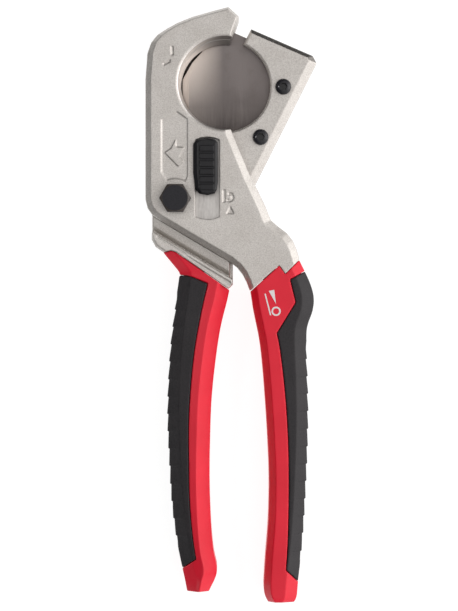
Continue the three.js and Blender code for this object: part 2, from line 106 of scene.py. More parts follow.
def grown(outline, width):
    """The outline moved outwards. It runs anticlockwise."""
    moved = []
    for before, corner, after in zip([outline[-1], *outline], outline, [*outline[1:], outline[0]]):
        sides = []
        for (x0, y0), (x1, y1) in ((before, corner), (corner, after)):
            length = math.hypot(x1 - x0, y1 - y0)
            sides.append(((y1 - y0) / length, (x0 - x1) / length))
        (ax, ay), (bx, by) = sides
        reach = width / (1 + ax * bx + ay * by)
        moved.append((corner[0] + (ax + bx) * reach, corner[1] + (ay + by) * reach))
    return moved


def circle(x, y, radius, start=0.0, end=360.0, steps=32):
    full = abs(end - start) >= 360
    angles = [math.radians(start + (end - start) * k / steps) for k in range(steps + (not full))]
    return [(x + radius * math.cos(a), y + radius * math.sin(a)) for a in angles]


def turned(x, y, profile, name="tool", sides=48):
    """Solid of revolution through (radius, z) pairs in millimetres."""
    return closed_mesh(name, [[(a, b, z) for a, b in circle(x, y, r, steps=sides)] for r, z in profile])


def smooth_line(points, step=1.5):
    """Catmull-Rom curve through the points, sampled about every step millimetres."""
    ends = [tuple(2 * a - b for a, b in zip(points[i], points[j])) for i, j in ((0, 1), (-1, -2))]
    padded = [ends[0], *points, ends[1]]
    line = []
    for p0, p1, p2, p3 in zip(padded, padded[1:], padded[2:], padded[3:]):
        count = max(1, round(math.dist(p1, p2) / step))
        for k in range(count):
            t = k / count
            line.append(tuple(
                0.5 * (2 * b + (c - a) * t + (2 * a - 5 * b + 4 * c - d) * t * t
                       + (3 * b - a - 3 * c + d) * t ** 3)
                for a, b, c, d in zip(p0, p1, p2, p3)))
    return [*line, points[-1]]


def across(line, y):
    """x where a line that falls in y crosses that y."""
    for (x0, y0), (x1, y1) in zip(line, line[1:]):
        if y1 <= y <= y0:
            return x0 + (x1 - x0) * (y0 - y) / max(y0 - y1, 1e-9)
    return line[0][0] if y > line[0][1] else line[-1][0]


def bake(piece):
    """Applies the piece's modifiers to its mesh."""
    graph = bpy.context.evaluated_depsgraph_get()
    mesh = bpy.data.meshes.new_from_object(piece.evaluated_get(graph))
    old = piece.data
    piece.modifiers.clear()
    piece.data = mesh
    bpy.data.meshes.remove(old)
    return piece


def combine(piece, tools, operation="DIFFERENCE"):
    """Cuts, joins or intersects the piece with each tool, which is used up."""
    for tool in tools:
        modifier = piece.modifiers.new("combine", "BOOLEAN")
        modifier.object = tool
        modifier.operation = operation
        modifier.solver = "EXACT"
        bake(piece)
        remove(tool)
    return piece


def soften(piece, voxel, rounds, keep=1.0):
    """Rounds every edge of a solid the way a cast, moulded or tumbled piece is rounded.

    The voxel is in millimetres, and keep is the share of the faces that a last thinning leaves. The
    even mesh goes back onto the sharp solid before the last smoothing, so flat faces stay flat.
    """
    sharp = link(piece.name + "_sharp", piece.data.copy())
    remesh = piece.modifiers.new("remesh", "REMESH")
    remesh.mode = "VOXEL"
    remesh.voxel_size = voxel * MM
    even = piece.modifiers.new("even", "SMOOTH")
    even.factor = 0.5
    even.iterations = 2
    onto = piece.modifiers.new("onto", "SHRINKWRAP")
    onto.target = sharp
    onto.wrap_method = "NEAREST_SURFACEPOINT"
    rounded = piece.modifiers.new("rounded", "SMOOTH")
    rounded.factor = 0.5
    rounded.iterations = rounds
    bake(piece)
    remove(sharp)
    if keep < 1:
        thin = piece.modifiers.new("thin", "DECIMATE")
        thin.ratio = keep
        bake(piece)
    piece.data.shade_smooth()
    piece.modifiers.new("normals", "WEIGHTED_NORMAL")
    return bake(piece)


def remove(piece):
    mesh = piece.data
    bpy.data.objects.remove(piece)
    bpy.data.meshes.remove(mesh)


def cad_copy(node, name):
    return link(name, frame["nodes"][node].data.copy())


def finish_piece(piece, node, body, material):
    """Gives a piece its material and puts it in the place of the part's own node."""
    piece.data.materials.clear()
    piece.data.materials.append(material)
    for face in piece.data.polygons:
        face.material_index = 0
    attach(piece, body)
    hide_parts(node)


def second_finish(piece, material, chosen):
    """Gives another material to the faces of a finished piece for which chosen(face) is true."""
    piece.data.materials.append(material)
    index = len(piece.data.materials) - 1
    for face in piece.data.polygons:
        if chosen(face):
            face.material_index = index


# --- materials ---------------------------------------------------------------------------------


class Nodes:
    """Short hand for building one material's node tree."""

    def __init__(self, name):
        self.material = bpy.data.materials.new(name)
        self.material.use_nodes = True
        self.tree = self.material.node_tree
        self.shader = next(n for n in self.tree.nodes if n.type == "BSDF_PRINCIPLED")
        coords = self.add("ShaderNodeTexCoord")
        scale = self.add("ShaderNodeMapping")
        scale.inputs["Scale"].default_value = (1 / MM,) * 3
        self.join(coords.outputs["Object"], scale.inputs["Vector"])
        self.mm = scale.outputs["Vector"]

    def add(self, kind, **values):
        node = self.tree.nodes.new(kind)
        for key, value in values.items():
            setattr(node, key, value)
        return node

    def join(self, out, into):
        self.tree.links.new(out, into)

    def set(self, **values):
        for key, value in values.items():
            self.shader.inputs[key.replace("_", " ")].default_value = value

    def noise(self, size, detail=2.0, rough=0.5, stretch=(1, 1, 1)):
        mapping = self.add("ShaderNodeMapping")
        mapping.inputs["Scale"].default_value = stretch
        self.join(self.mm, mapping.inputs["Vector"])
        node = self.add("ShaderNodeTexNoise")
        node.inputs["Scale"].default_value = 1 / size
        node.inputs["Detail"].default_value = detail
        node.inputs["Roughness"].default_value = rough
        self.join(mapping.outputs["Vector"], node.inputs["Vector"])
        return node.outputs["Fac"]

    def ramp(self, fac, *stops):
        node = self.add("ShaderNodeValToRGB")
        ramp = node.color_ramp
        ramp.elements[0].position, ramp.elements[0].color = stops[0][0], (*stops[0][1], 1)
        ramp.elements[1].position, ramp.elements[1].color = stops[-1][0], (*stops[-1][1], 1)
        for position, color in stops[1:-1]:
            ramp.elements.new(position).color = (*color, 1)
        self.join(fac, node.inputs["Fac"])
        return node.outputs["Color"]

    def span(self, value, low, high, new_low, new_high):
        node = self.add("ShaderNodeMapRange")
        for key, number in zip(("From Min", "From Max", "To Min", "To Max"), (low, high, new_low, new_high)):
            node.inputs[key].default_value = number
        self.join(value, node.inputs["Value"])
        return node.outputs["Result"]

    def mix(self, fac, a, b, blend="MIX"):
        node = self.add("ShaderNodeMix", data_type="RGBA", blend_type=blend)
        for value, socket in ((fac, node.inputs[0]), (a, node.inputs[6]), (b, node.inputs[7])):
            if isinstance(value, bpy.types.NodeSocket):
                self.join(value, socket)
            else:
                socket.default_value = value if isinstance(value, float) else (*value, 1)
        return node.outputs[2]

    def bump(self, *layers):
        """Each layer is (height, depth in millimetres)."""
        normal = None
        for height, depth in layers:
            node = self.add("ShaderNodeBump")
            node.inputs["Strength"].default_value = 1.0
            node.inputs["Distance"].default_value = depth * MM
            self.join(height, node.inputs["Height"])
            if normal:
                self.join(normal, node.inputs["Normal"])
            normal = node.outputs["Normal"]
        self.join(normal, self.shader.inputs["Normal"])

    def color(self, socket):
        self.join(socket, self.shader.inputs["Base Color"])

    def roughness(self, socket):
        self.join(socket, self.shader.inputs["Roughness"])

    def along(self, axis):
        """Millimetres along one axis of the frame."""
        node = self.add("ShaderNodeSeparateXYZ")
        self.join(self.mm, node.inputs["Vector"])
        return node.outputs[axis]

    def edges(self, low, high):
        """0 in hollows, 1 on corners rubbed by wear, from the mesh's own shape."""
        geometry = self.add("ShaderNodeNewGeometry")
        return self.span(geometry.outputs["Pointiness"], low, high, 0.0, 1.0)


def cast_aluminium():
    n = Nodes("cast_aluminium")
    n.set(Metallic=0.86, Specular_IOR_Level=0.5)
    grain = n.noise(0.42, 3.0, 0.65)
    cloud = n.noise(9.0, 3.0, 0.55)
    base = n.ramp(grain, (0.36, (0.55, 0.52, 0.495)), (0.5, (0.66, 0.635, 0.605)),
                  (0.66, (0.76, 0.735, 0.705)))
    tone = n.ramp(cloud, (0.35, (0.93, 0.925, 0.92)), (0.65, (1.0, 1.0, 1.0)))
    n.color(n.mix(1.0, base, tone, "MULTIPLY"))
    n.roughness(n.span(grain, 0.3, 0.7, 0.42, 0.56))
    n.bump((n.noise(0.34, 2.0, 0.6), 0.04), (n.noise(1.6, 2.0, 0.5), 0.03))
    return n.material


def trimmed_aluminium_painted_shade():
    n = Nodes("trimmed_aluminium_painted_shade")
    n.set(Metallic=0.9)
    lines = n.noise(0.3, 2.0, 0.5, (0.15, 1.0, 1.0))
    # painted shade: a dark base colour stands in for the shade on the holder's end
    n.color(n.ramp(lines, (0.3, (0.20, 0.19, 0.18)), (0.7, (0.28, 0.27, 0.26))))
    n.roughness(n.span(lines, 0.3, 0.7, 0.2, 0.28))
    n.bump((lines, 0.006))
    return n.material


def machined_aluminium_painted_light():
    """Inside of the pipe seat: painted light, brighter than the cast faces on the left, and painted shade,
    duller towards the hook's tip.
    """
    n = Nodes("machined_aluminium_painted_light")
    n.set(Metallic=0.86)
    rings = n.noise(0.5, 2.0, 0.5, (0.3, 0.3, 1.0))
    # painted light: brighter than the cast aluminium, fading to painted shade towards the hook's tip
    bright = n.ramp(rings, (0.3, (0.84, 0.815, 0.79)), (0.7, (0.93, 0.91, 0.89)))
    n.color(n.mix(n.span(n.along("X"), *SEAT_SHADE_X, 0.0, 1.0), bright, (0.42, 0.40, 0.385)))
    n.roughness(n.span(rings, 0.3, 0.7, 0.3, 0.4))
    n.bump((rings, 0.008))
    return n.material


def blade_steel():
    """Ground plate: painted light makes it warm and bright by the cutting edge, and painted shade makes it
    darker towards the hub.
    """
    n = Nodes("blade_steel")
    n.set(Metallic=1.0, Anisotropic=0.4)
    lines = n.noise(0.6, 3.0, 0.6, (1.0, 0.07, 1.0))
    smear = n.noise(5.0, 4.0, 0.6)
    # painted shade: the plate darkens towards the bottom
    down = n.span(n.along("Y"), *BLADE_SHADE_Y, 0.0, 1.0)
    base = n.ramp(down, (0.0, (0.07, 0.06, 0.058)), (0.22, (0.15, 0.132, 0.128)),
                  (0.5, (0.20, 0.177, 0.173)), (1.0, (0.21, 0.188, 0.184)))
    base = n.mix(n.span(lines, 0.3, 0.7, 0.0, 0.35), base, (0.25, 0.225, 0.215))
    base = n.mix(n.span(smear, 0.5, 0.75, 0.0, 0.4), base, (0.15, 0.13, 0.118))
    # painted light: warm and bright towards the cutting edge on the left
    beside = n.span(n.along("X"), *BLADE_SHADE_X, 1.0, 0.0)
    edge_painted_light = n.mix(1.0, beside, n.span(down, 0.25, 0.85, 0.15, 1.0), "MULTIPLY")
    n.color(n.mix(edge_painted_light, base, (0.97, 0.86, 0.78)))
    n.roughness(n.span(lines, 0.3, 0.7, 0.34, 0.46))
    n.bump((lines, 0.004), (n.noise(0.5, 2.0, 0.5), 0.006))
    return n.material


def ground_edge():
    n = Nodes("ground_edge")
    n.set(Metallic=0.6)
    lines = n.noise(0.25, 2.0, 0.5, (1.0, 0.06, 1.0))
    fresh = n.ramp(lines, (0.3, (0.90, 0.79, 0.71)), (0.7, (1.0, 0.91, 0.84)))
    # painted shade: the ground bevel darkens towards the bottom
    shaded_low = n.span(n.along("Y"), *BLADE_SHADE_Y, 1.0, 0.0)
    n.color(n.mix(shaded_low, fresh, (0.30, 0.245, 0.215)))
    n.roughness(n.span(lines, 0.3, 0.7, 0.3, 0.42))
    n.bump((lines, 0.004))
    return n.material


def plated_steel():
    n = Nodes("plated_steel")
    n.set(Metallic=1.0)
    cloud = n.noise(2.6, 3.0, 0.6, (1.0, 0.35, 1.0))
    scratch = n.noise(0.5, 2.0, 0.6, (1.0, 0.08, 1.0))
    base = n.ramp(cloud, (0.35, (0.47, 0.45, 0.435)), (0.65, (0.68, 0.66, 0.64)))
    n.color(n.mix(n.span(scratch, 0.35, 0.7, 0.0, 0.45), base, (0.77, 0.75, 0.73)))
    n.roughness(n.span(cloud, 0.3, 0.7, 0.3, 0.42))
    n.bump((scratch, 0.008))
    return n.material


def black_steel(name="black_steel", gloss=0.34, specular=0.32, dark=(0.009, 0.009, 0.012)):
    n = Nodes(name)
    n.set(Specular_IOR_Level=specular)
    speckle = n.noise(0.35, 3.0, 0.6)
    base = n.ramp(speckle, (0.35, dark), (0.65, tuple(2 * part for part in dark)))
    n.color(n.mix(n.edges(0.53, 0.62), base, (0.075, 0.07, 0.068)))
    n.roughness(n.span(speckle, 0.3, 0.7, gloss, gloss + 0.1))
    n.bump((speckle, 0.01))
    return n.material


def bronze():
    n = Nodes("bronze")
    n.set(Metallic=1.0)
    pores = n.noise(0.5, 3.0, 0.6)
    n.color(n.ramp(pores, (0.35, (0.32, 0.20, 0.09)), (0.6, (0.48, 0.32, 0.15))))
    n.roughness(n.span(pores, 0.3, 0.7, 0.4, 0.55))
    return n.material


def red_plastic():
    n = Nodes("red_plastic")
    n.set(Specular_IOR_Level=0.36)
    cloud = n.noise(14.0, 2.0, 0.5)
    n.color(n.ramp(cloud, (0.3, (0.80, 0.012, 0.036)), (0.7, (0.88, 0.016, 0.044))))
    n.roughness(n.span(n.noise(1.2, 3.0, 0.6), 0.3, 0.7, 0.32, 0.42))
    n.bump((n.noise(0.45, 2.0, 0.6), 0.02))
    return n.material


def black_plastic():
    n = Nodes("black_plastic")
    n.set(Specular_IOR_Level=0.34)
    speckle = n.noise(0.5, 2.0, 0.6)
    base = n.ramp(speckle, (0.35, (0.007, 0.007, 0.009)), (0.65, (0.013, 0.013, 0.016)))
    n.color(n.mix(n.edges(0.55, 0.65), base, (0.05, 0.05, 0.055)))
    n.roughness(n.span(speckle, 0.3, 0.7, 0.28, 0.38))
    n.bump((speckle, 0.012))
    return n.material


def black_rubber():
    n = Nodes("black_rubber")
    n.set(Specular_IOR_Level=0.45, Sheen_Weight=0.08, Sheen_Roughness=0.4)
    speckle = n.noise(0.6, 3.0, 0.65)
    cloud = n.noise(8.0, 2.0, 0.5)
    base = n.ramp(speckle, (0.35, (0.009, 0.008, 0.010)), (0.65, (0.025, 0.021, 0.025)))
    base = n.mix(n.span(cloud, 0.45, 0.75, 0.0, 0.25), base, (0.038, 0.034, 0.037))
    n.color(base)
    n.roughness(n.span(speckle, 0.3, 0.7, 0.48, 0.64))
    n.bump((speckle, 0.07))
    return n.material


def white_print():
    n = Nodes("white_print")
    wear = n.noise(0.6, 3.0, 0.6)
    n.color(n.ramp(wear, (0.3, (0.76, 0.72, 0.72)), (0.5, (0.86, 0.84, 0.84))))
    n.roughness(n.span(wear, 0.3, 0.7, 0.4, 0.5))
    return n.material


def pale_floor():
    n = Nodes("pale_floor")
    paper = n.noise(4.0, 3.0, 0.5)
    n.color(n.ramp(paper, (0.3, (0.27, 0.27, 0.27)), (0.7, (0.29, 0.29, 0.29))))
    n.set(Specular_IOR_Level=0.1, Roughness=0.9)
    n.shader.inputs["Emission Color"].default_value = (1, 1, 1, 1)
    n.shader.inputs["Emission Strength"].default_value = 0.9
    n.bump((n.noise(0.8, 2.0, 0.5), 0.02))
    return n.material


ALUMINIUM = cast_aluminium()
TRIMMED_PAINTED_SHADE = trimmed_aluminium_painted_shade()
MACHINED_PAINTED_LIGHT = machined_aluminium_painted_light()
BLADE = blade_steel()
GROUND = ground_edge()
PLATED = plated_steel()
BLACK = black_steel()
SCREW = black_steel("screw_steel", 0.16, 0.5)
# lighter black steel for the bolt head's chamfer: painted light
CHAMFER_PAINTED_LIGHT = black_steel("chamfer_black_steel_painted_light", 0.3, 0.5, (0.034, 0.028, 0.025))
# dark steel that stands in for the shade in the blade slot: painted shade
SLOT_PAINTED_SHADE = black_steel("slot_painted_shade", 0.6, 0.1, (0.024, 0.02, 0.018))
RED = red_plastic()
PLASTIC = black_plastic()
RUBBER = black_rubber()
PRINT = white_print()


# --- cast head -----------------------------------------------------------------------------------

MARK_DEPTH = 0.4
SEAT = (17.9, 42.0)  # middle of the round pipe seat
SEAT_WALL_R = 17.2  # the wall of the seat lies within this radius
BLADE_SLOT_Z = (8.0, 9.2)
ABOVE_BLADE_Z = 11.5


def sunken(outline, slope=0.6, top=HEAD_TOP):
    """Tool that presses a mark into a front face. Its walls lean outwards by slope."""
    rim = grown(outline, slope)
    levels = ((outline, top - MARK_DEPTH), (rim, top), (rim, top + 1))
    return closed_mesh("mark", [[(x, y, z) for x, y in points] for points, z in levels])


def stroke(start, end, width):
    """Outline of a short straight bar between two points."""
    (x0, y0), (x1, y1) = start, end
    length = math.hypot(x1 - x0, y1 - y0)
    nx, ny = (y1 - y0) / length * width / 2, (x0 - x1) / length * width / 2
    return [(x0 + nx, y0 + ny), (x1 + nx, y1 + ny), (x1 - nx, y1 - ny), (x0 - nx, y0 - ny)]


def arrow_panel():
    """Sunken panel that points at the pipe seat, hollowed round the bolt head, with a raised blade in it."""
    bolt_side = circle(0, 0, 7.5, 112, 62, 8)
    panel = sunken([(-4.7, 28.4), (-4.7, 9.6), *bolt_side, (4.1, 8.2), (4.1, 28.6), (0.6, 31.2)])
    sign = [(-3.8, 16.6), (1.1, 11.6), (3.0, 13.3), (1.4, 15.2), (3.2, 18.4), (0.3, 18.6), (0.1, 21.4),
            (-1.5, 18.1)]
    return combine(panel, [prism(sign, HEAD_TOP - 2, HEAD_TOP + 2)])


def padlock():
    body = stroke((17.7, -1.3), (17.7, 3.0), 0.6)
    bow = [*circle(19.6, 0.4, 1.6, -130, 100, 14), *circle(19.6, 0.4, 0.9, 100, -130, 14)]
    return [sunken(body, 0.3), sunken(bow, 0.25)]


def marks():
    """All that is pressed into the head's front face: panel, padlock, triangle and two strokes."""
    triangle = [(18.9, -5.4), (21.0, -5.4), (19.95, -3.3)]
    jaw_strokes = [stroke((-1.0, 52.2), (-1.2, 55.0), 0.5), stroke((-4.2, 48.7), (-1.9, 50.0), 0.5)]
    return [arrow_panel(), *padlock(), sunken(triangle, 0.4), *(sunken(bar, 0.35) for bar in jaw_strokes)]


def seat_rim():
    """Cone that breaks the edge where the pipe seat meets the front face."""
    x, y = SEAT
    return turned(x, y, [(16.9, HEAD_TOP - 0.5), (17.8, HEAD_TOP), (19.8, HEAD_TOP + 1)], "rim")


def seat_rings():
    """Inside the pipe seat: a step under the blade and, over it, a lip that leans back into the wall."""
    x, y = SEAT
    step = [*circle(x, y, 14.6, 105, 215, 24), *circle(x, y, 17.4, 215, 105, 24)]
    lip = []
    for z, drop, radius in ((12.1, 1.3, 15.95), (12.5, 1.3, 15.95), (16.0, 0.2, 16.3)):
        ring = [*circle(x, y - drop, radius, 82, 185, 24), *circle(x, y, 17.2, 185, 82, 24)]
        lip.append([(a, b, z) for a, b in ring])
    return [prism(step, 3.0, 8.9), closed_mesh("lip", lip)]


def in_seat(face, low, high):
    """True for a face of the pipe seat's wall that lies between two heights."""
    middle = Vector(place(*SEAT, 0))
    out = math.hypot(face.center.x - middle.x, face.center.y - middle.y) / MM
    return out < SEAT_WALL_R and low * MM < face.center.z < high * MM


def jaw_frame():
    """The cast hook and plates: marks on the front, a machined pipe seat whose wall gets painted light, and
    painted shade in the blade slot.
    """
    head = combine(cad_copy("jaw_frame", "jaw_frame_casting"), seat_rings(), "UNION")
    combine(head, [*marks(), seat_rim()])
    soften(head, 0.28, 3, 0.42)
    finish_piece(head, "jaw_frame", "frame", ALUMINIUM)
    # painted light on the seat's wall above the blade
    second_finish(head, MACHINED_PAINTED_LIGHT, lambda face: in_seat(face, ABOVE_BLADE_Z, HEAD_TOP + 1))
    # painted shade: dark steel on the slot faces under the blade
    second_finish(head, SLOT_PAINTED_SHADE, lambda face: in_seat(face, *BLADE_SLOT_Z))


COLLAR_TOP = 20.1
BAR_ANGLE = math.radians(-30.9)
SHANK_SIDES = (-8.35, 20.65)  # the shank's left and right side beside the collar
ARM_END = Vector((0.4, 0.917, 0.0))  # the way the blade holder's trimmed end looks
ARM_END_Y = 49


def beside_collar(section, sides=SHANK_SIDES):
    """Straight bar along the collar, from its section's (distance from the pivot, z) pairs."""
    slope, stretch = math.tan(BAR_ANGLE), math.cos(BAR_ANGLE)
    return closed_mesh("tool", [[(x, x * slope - d / stretch, z) for d, z in section] for x in sides])


def on_trimmed_end(face):
    """True for a face of the slope that ends the blade holder."""
    at_end = face.center.y > PIVOT.y + ARM_END_Y * MM
    return at_end and 0.3 < face.normal.z < 0.93 and face.normal.dot(ARM_END) > 0.3


def lever():
    """The lever's casting: a band and a lip with a groove between them cross the shank above the collar.

    The blade holder's end is trimmed smooth, and its darker colour is painted shade.
    """
    band = beside_collar([(9.62, 12.0), (9.62, 16.2), (12.6, 15.6), (13.2, 15.2), (13.2, 12.0)])
    lip = beside_collar([(14.5, 12.0), (14.5, 19.7), (14.9, 20.1), (15.8, 20.1), (15.8, 12.0)])
    profile = [(9.0, 16.3), (9.62, 16.2), (12.6, 15.6), (13.5, 14.9), (14.05, 13.8), (14.45, 12.6)]
    falling = beside_collar([*profile, (14.45, 22.0), (9.0, 22.0)], (-12.0, 30.0))
    end_step = beside_collar([(6.0, 13.2), (14.3, 13.2), (14.3, 22.0), (6.0, 22.0)], (19.7, 24.0))
    wedge = sunken([(4.0, -20.9), (19.3, -32.0), (20.2, -31.2), (20.0, -30.5)], 0.25, COLLAR_TOP)
    line = sunken(stroke((-6.6, -13.9), (3.6, -20.0), 0.3), 0.2, COLLAR_TOP)
    arm = combine(cad_copy("lever_casting", "lever_arm_casting"), [band, lip], "UNION")
    combine(arm, [falling, end_step, wedge, line])
    soften(arm, 0.24, 3, 0.45)
    finish_piece(arm, "lever_casting", "lever", ALUMINIUM)
    # painted shade on the holder's end: a darker aluminium
    second_finish(arm, TRIMMED_PAINTED_SHADE, on_trimmed_end)


def blade():
    """The plate keeps its sharp edges, and the ground bevels get a brighter steel.

    A thin gap is left between its cutting edge and the pipe seat's wall.
    """
    edge = [(2.45, 15.0), (2.45, 44.0), (6.1, 50.3), (9.5, 54.1), (15.4, 63.7)]
    past_edge = prism([(-5, 70), (-5, 15), *edge, (15.4, 70)], 5, 15)
    plate = combine(cad_copy("blade", "blade_plate"), [past_edge])
    shape = bmesh.new()
    shape.from_mesh(plate.data)
    bmesh.ops.dissolve_limit(shape, angle_limit=math.radians(1), verts=shape.verts, edges=shape.edges)
    shape.to_mesh(plate.data)
    shape.free()
    finish_piece(plate, "blade", "lever", BLADE)
    second_finish(plate, GROUND, lambda face: 0.2 < abs(face.normal.z) < 0.99)


# --- fasteners and lock ------------------------------------------------------------------------------

SMALL_VOXEL = 0.13
SCREW_HEAD = {"r": 2.9, "rim": 0.5, "crown": 1.3, "shank": 1.7, "socket": 2.5}


def small_piece(node, body, material, rounds=3):
    """The part's own node with its edges rounded."""
    piece = soften(cad_copy(node, node + "_rounded"), SMALL_VOXEL, rounds)
    finish_piece(piece, node, body, material)


def pivot_bolt():
    """Hex bolt whose head's corners are chamfered by a cone."""
    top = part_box("pivot_bolt")[1].z / MM
    cone = turned(0, 0, [(9, -1), (9, top - 2.4), (4.6, top)])
    bolt = combine(cad_copy("pivot_bolt", "pivot_bolt_rounded"), [cone], "INTERSECT")
    soften(bolt, SMALL_VOXEL, 2)
    finish_piece(bolt, "pivot_bolt", "frame", BLACK)
    # painted light: a lighter black steel on the head's chamfer
    second_finish(bolt, CHAMFER_PAINTED_LIGHT, lambda face: 0.5 < face.normal.z < 0.95)


def blade_screw(end):
    """Button head with a hex socket, on a plain shank."""
    node = f"blade_screw_{end}"
    low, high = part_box(node)
    x = ((low.x + high.x) / 2 - PIVOT.x) / MM
    y = ((low.y + high.y) / 2 - PIVOT.y) / MM
    foot = high.z / MM - SCREW_HEAD["rim"] - SCREW_HEAD["crown"] + 0.1
    profile = [(SCREW_HEAD["shank"], low.z / MM), (SCREW_HEAD["shank"], foot), (SCREW_HEAD["r"], foot)]
    for k in range(9):
        angle = math.radians(9 * k)
        height = SCREW_HEAD["rim"] + SCREW_HEAD["crown"] * math.sin(angle)
        profile.append((SCREW_HEAD["r"] * math.cos(angle) ** 0.8, foot + height))
    corner = SCREW_HEAD["socket"] / math.sqrt(3)
    socket = prism(circle(x, y, corner, steps=6), foot - 0.6, foot + 5)
    screw = combine(turned(x, y, profile, node + "_head"), [socket])
    soften(screw, 0.09, 2)
    finish_piece(screw, node, "lever", SCREW)


def fasteners():
    pivot_bolt()
    small_piece("pivot_nut", "frame", BLACK)
    for end in ("upper", "lower"):
        blade_screw(end)
        small_piece(f"blade_nut_{end}", "lever", BLACK, 2)


def paint(node, material):
    """Gives one of the part's own nodes, which stays as it is, its material."""
    mesh = frame["nodes"][node].data
    mesh.materials.clear()
    mesh.materials.append(material)


def lock():
    """The button gets rounded edges, and what is under it keeps its own shape."""
    small_piece("lock_button", "lock", PLASTIC, 4)
    for node in ("latch_plate", "lock_friction_spring", "latch_rivet_lower", "latch_rivet_upper"):
        paint(node, PLATED)


def pivot_fittings():
    """What lies hidden round the bolt keeps its own shape."""
    for node in ("front_thrust_washer", "back_thrust_washer", "opening_spring"):
        paint(node, PLATED)
    paint("pivot_bushing", bronze())


# --- grips ---------------------------------------------------------------------------------------------

GRIP_T = 20.5
WRAP_T = 1.7
GAP = 0.1  # behind the wrap
GROOVE = 0.18  # between the red body and the wrap, seen from the front
GRIP_SLICES = 150
END_ROUND = 1.6
RIB_PITCH = 6.35
RIB_DEPTH = 0.45
OUTER_FACET = (4.4, 3.2)  # width seen from the front, and depth
FACET_SHARE = 0.85  # the most that the two facets take of a grip's width
BEYOND = 60  # far enough to lie outside either grip

# Each line runs from the collar to the handle's end, about the pivot axis.
LEFT = {
    "side": -1,
    "lean": 1.5,
    "inner_facet": (4.8, 4.2),
    "outer": [(-9.2, -13.0), (-4.3, -19.8), (1.2, -26.6), (1.3, -28.4), (0.1, -36.9), (-1.8, -51.5),
              (-2.8, -66.0), (-3.1, -80.7), (-2.5, -95.0), (-1.6, -109.9), (-0.1, -122.0), (2.2, -133.5),
              (3.3, -138.4), (4.2, -143.1)],
    "inner": [(23.6, -16.0), (19.6, -33.5), (18.8, -37.2), (16.4, -47.0), (14.6, -58.8), (13.1, -73.4),
              (12.5, -90.0), (12.4, -104.0), (12.9, -118.0), (13.8, -128.1), (15.1, -136.0), (12.2, -143.1)],
    "collar": [(19.6, -33.25), (0.2, -19.5), (-1.6, -18.95), (-4.3, -19.6)],
    "rubber": [[(1.5, -27.7), (5.4, -28.2), (11.9, -30.8)],
               [(11.9, -30.8), (9.3, -42.3), (6.7, -57.8), (5.1, -77.7), (5.0, -95.0), (5.3, -110.0),
                (6.4, -123.0), (7.6, -131.2)],
               [(7.6, -131.2), (2.3, -135.0)]],
    "ribs": (-34, -128),
}

RIGHT = {
    "side": 1,
    "lean": 0.0,
    "inner_facet": (2.5, 4.0),
    "outer": [(42.4, -16.5), (45.2, -22.5), (48.9, -30.3), (50.4, -35.8), (50.0, -40.8), (48.0, -46.8),
              (47.8, -53.5), (48.2, -64.0), (48.5, -77.0), (48.2, -92.3), (47.4, -109.9), (46.4, -124.5),
              (44.8, -138.2), (44.2, -144.8), (43.2, -146.9)],
    "inner": [(24.9, -20.0), (27.4, -34.0), (28.4, -40.5), (30.6, -51.5), (31.8, -62.0), (32.8, -75.0),
              (33.6, -88.0), (34.1, -102.0), (33.8, -117.2), (32.7, -131.8), (32.2, -141.0),
              (32.6, -144.6), (33.8, -146.9)],
    "collar": [(27.4, -33.75), (37.7, -24.45), (39.9, -27.55), (45.2, -22.25)],
    "rubber": [[(47.3, -26.2), (41.6, -29.4)],
               [(41.6, -29.4), (43.6, -37.8)],
               [(43.6, -37.8), (36.8, -48.9)],
               [(36.8, -48.9), (38.1, -56.0), (40.0, -73.2), (41.0, -91.6), (41.1, -110.0), (40.7, -126.0),
                (40.1, -135.1)],
               [(40.1, -135.1), (44.3, -139.3)]],
    "ribs": (-52, -134),
}


def grip_section(outer, inner, grip, sink):
    """Bar with a bevel along each edge. The core's section is sunk by sink below the faces and outside.

    The front and back faces fall by lean from the inner side to the outer one.
    """
    side = grip["side"]
    lean = grip["lean"]
    low, high = sink, GRIP_T - sink
    out_x = outer - side * sink
    out_wide, out_deep = OUTER_FACET
    in_wide, in_deep = grip["inner_facet"]
    narrow = min(1.0, FACET_SHARE * abs(inner - out_x) / (out_wide + in_wide))
    out_wide, in_wide = out_wide * narrow, in_wide * narrow
    return [
        (out_x, low + out_deep + lean), (out_x, high - out_deep - lean),
        (out_x - side * out_wide, high - lean), (inner + side * in_wide, high),
        (inner, high - in_deep), (inner, low + in_deep),
        (inner + side * in_wide, low), (out_x - side * out_wide, low + lean),
    ]


def grip_solid(grip, name, sink=0.0):
    """Solid of the whole grip, sliced square to its length, with a rounded end."""
    outer = smooth_line(grip["outer"], 1.2)
    inner = smooth_line(grip["inner"], 1.2)
    top, bottom = outer[0][1], inner[-1][1]
    rings = []
    for k in range(GRIP_SLICES + 1):
        y = top + (bottom - top) * k / GRIP_SLICES
        inward = max(0.0, 1 - (y - bottom) / END_ROUND) ** 2 * END_ROUND / 2
        ring = []
        for x, z in grip_section(across(outer, y), across(inner, y), grip, sink):
            ring.append((x, y, min(max(z, inward), GRIP_T - inward)))
        rings.append(ring)
    return closed_mesh(name, rings)


def below_collar(grip):
    """Space under the line where the casting ends."""
    side = grip["side"]
    (in_x, in_y), (out_x, out_y) = grip["collar"][0], grip["collar"][-1]
    top = [(in_x - side * BEYOND, in_y - 4), *grip["collar"], (out_x + side * BEYOND, out_y + 6)]
    return prism([*top, (out_x + side * BEYOND, -170), (in_x - side * BEYOND, -170)], -5, 30)


